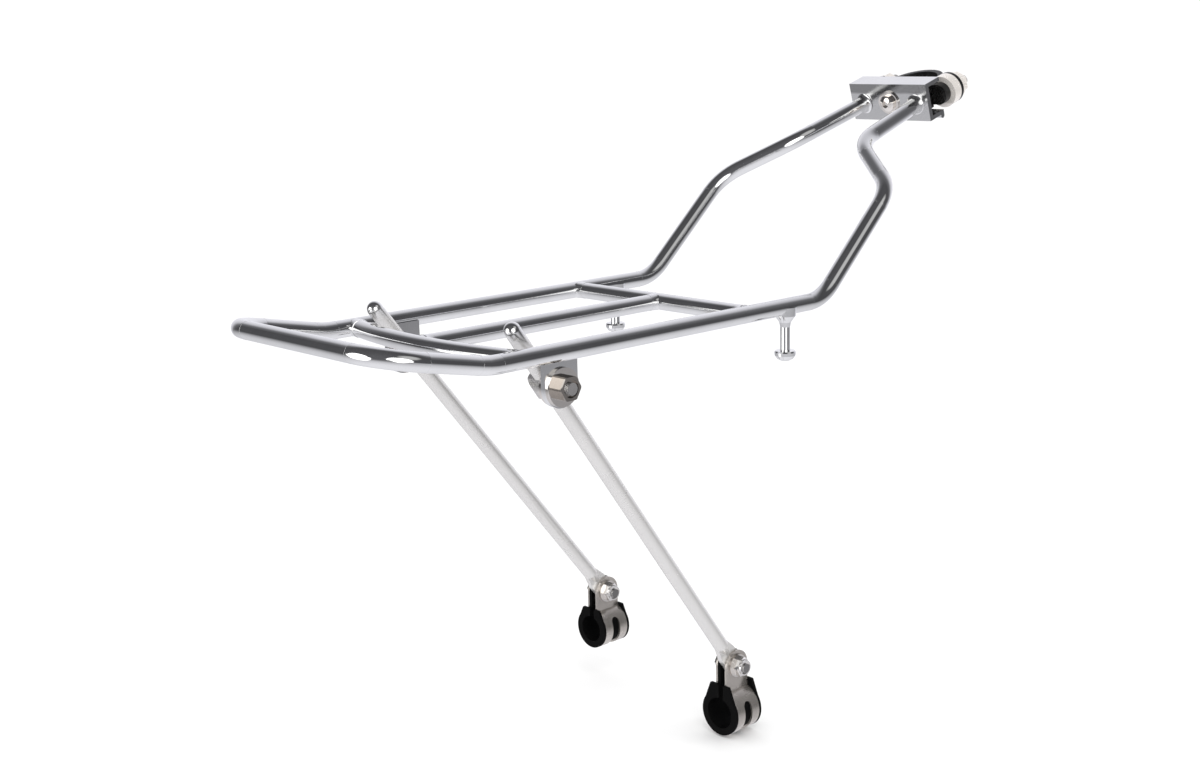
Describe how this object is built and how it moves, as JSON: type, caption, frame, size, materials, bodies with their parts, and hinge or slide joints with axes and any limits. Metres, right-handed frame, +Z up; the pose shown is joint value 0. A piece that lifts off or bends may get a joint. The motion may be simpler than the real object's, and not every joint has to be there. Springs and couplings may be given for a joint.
{
  "type": "bicycle rear rack",
  "caption": "Chromed tube bicycle rear rack: narrow bag platform with a seatpost clamp at the front, lashing pegs and adjustable struts ending in rubber-lined stay clamps.",
  "frame": {"origin": "middle of the seatpost bore, on its axis", "axes": "+X forward, +Y to the rider's left, +Z up with the platform level"},
  "size_m": [0.4719, 0.14, 0.3418],
  "materials": {
    "frame_chrome": "polished chrome plating on steel tube",
    "strut_metal": "bright plated steel, slightly satin",
    "jaw_black": "black coated forged jaws",
    "fastener_nickel": "bright nickel plated fasteners",
    "band_steel": "plain stainless strip",
    "liner_rubber": "black rubber"
  },
  "bodies": {
    "frame": {"main_hoop": "frame_chrome", "centre_rail": "frame_chrome", "front_crossbar": "frame_chrome", "rear_crossbar": "frame_chrome", "tab_left": "frame_chrome", "tab_right": "frame_chrome", "peg_left": "frame_chrome", "peg_right": "frame_chrome", "bracket_channel": "frame_chrome", "pivot_washer": "fastener_nickel"},
    "rear_jaw": {"rear_jaw": "jaw_black", "pivot_bolt": "fastener_nickel", "pivot_nut": "fastener_nickel", "clamp_bolts": "fastener_nickel", "clamp_spacers": "fastener_nickel"},
    "front_jaw": {"front_jaw": "jaw_black", "clamp_washers": "fastener_nickel"},
    "clamp_nut_left": {"clamp_nut_left": "fastener_nickel"},
    "clamp_nut_right": {"clamp_nut_right": "fastener_nickel"},
    "eye_left": {"eye_bolt_left": "fastener_nickel", "eye_cup_left": "fastener_nickel", "eye_washer_left": "fastener_nickel", "eye_nut_left": "fastener_nickel"},
    "strut_left": {"strut_left": "strut_metal"},
    "stay_clamp_left": {"stay_band_left": "band_steel", "stay_liner_left": "liner_rubber", "stay_bolt_left": "fastener_nickel", "stay_washer_left": "fastener_nickel", "stay_nut_left": "fastener_nickel"},
    "eye_right": {"eye_bolt_right": "fastener_nickel", "eye_cup_right": "fastener_nickel", "eye_washer_right": "fastener_nickel", "eye_nut_right": "fastener_nickel"},
    "strut_right": {"strut_right": "strut_metal"},
    "stay_clamp_right": {"stay_band_right": "band_steel", "stay_liner_right": "liner_rubber", "stay_bolt_right": "fastener_nickel", "stay_washer_right": "fastener_nickel", "stay_nut_right": "fastener_nickel"}
  },
  "joints": [
    {"name": "jaw_swivel", "type": "hinge", "parent": "frame", "child": "rear_jaw", "pos_m": [-0.02678, 0, -0.00819], "axis": [0.9563, 0, 0.2924], "range_deg": [-8, 8]},
    {"name": "jaw_open", "type": "slide", "parent": "rear_jaw", "child": "front_jaw", "axis": [0.9563, 0, 0.2924], "range_m": [0, 0.005]},
    {"name": "clamp_nut_left_spin", "type": "hinge", "parent": "front_jaw", "child": "clamp_nut_left", "pos_m": [0.01148, 0.025, 0.00351], "axis": [0.9563, 0, 0.2924], "range_deg": [0, 1800]},
    {"name": "clamp_nut_right_spin", "type": "hinge", "parent": "front_jaw", "child": "clamp_nut_right", "pos_m": [0.01148, -0.025, 0.00351], "axis": [0.9563, 0, 0.2924], "range_deg": [0, 1800]},
    {"name": "strut_left_swivel", "type": "hinge", "parent": "frame", "child": "eye_left", "pos_m": [-0.3502, 0.052, -0.1203], "axis": [0, 1, 0], "range_deg": [-3.1, 38.9]},
    {"name": "strut_left_slide", "type": "slide", "parent": "eye_left", "child": "strut_left", "axis": [-0.628, 0, 0.7782], "range_m": [-0.02, 0.12]},
    {"name": "stay_clamp_left_pivot", "type": "hinge", "parent": "strut_left", "child": "stay_clamp_left", "pos_m": [-0.22241, 0.052, -0.27867], "axis": [0, 1, 0], "range_deg": [-60, 60]},
    {"name": "strut_right_swivel", "type": "hinge", "parent": "frame", "child": "eye_right", "pos_m": [-0.3502, -0.052, -0.1203], "axis": [0, 1, 0], "range_deg": [-6.4, 35.6]},
    {"name": "strut_right_slide", "type": "slide", "parent": "eye_right", "child": "strut_right", "axis": [-0.5821, 0, 0.8131], "range_m": [-0.02, 0.12]},
    {"name": "stay_clamp_right_pivot", "type": "hinge", "parent": "strut_right", "child": "stay_clamp_right", "pos_m": [-0.22563, -0.052, -0.2943], "axis": [0, 1, 0], "range_deg": [-60, 60]}
  ],
  "couplings": [
    {"joint": "clamp_nut_left_spin", "follows": "jaw_open", "rad_per_m": 6283.2},
    {"joint": "clamp_nut_right_spin", "follows": "jaw_open", "rad_per_m": 6283.2}
  ]
}
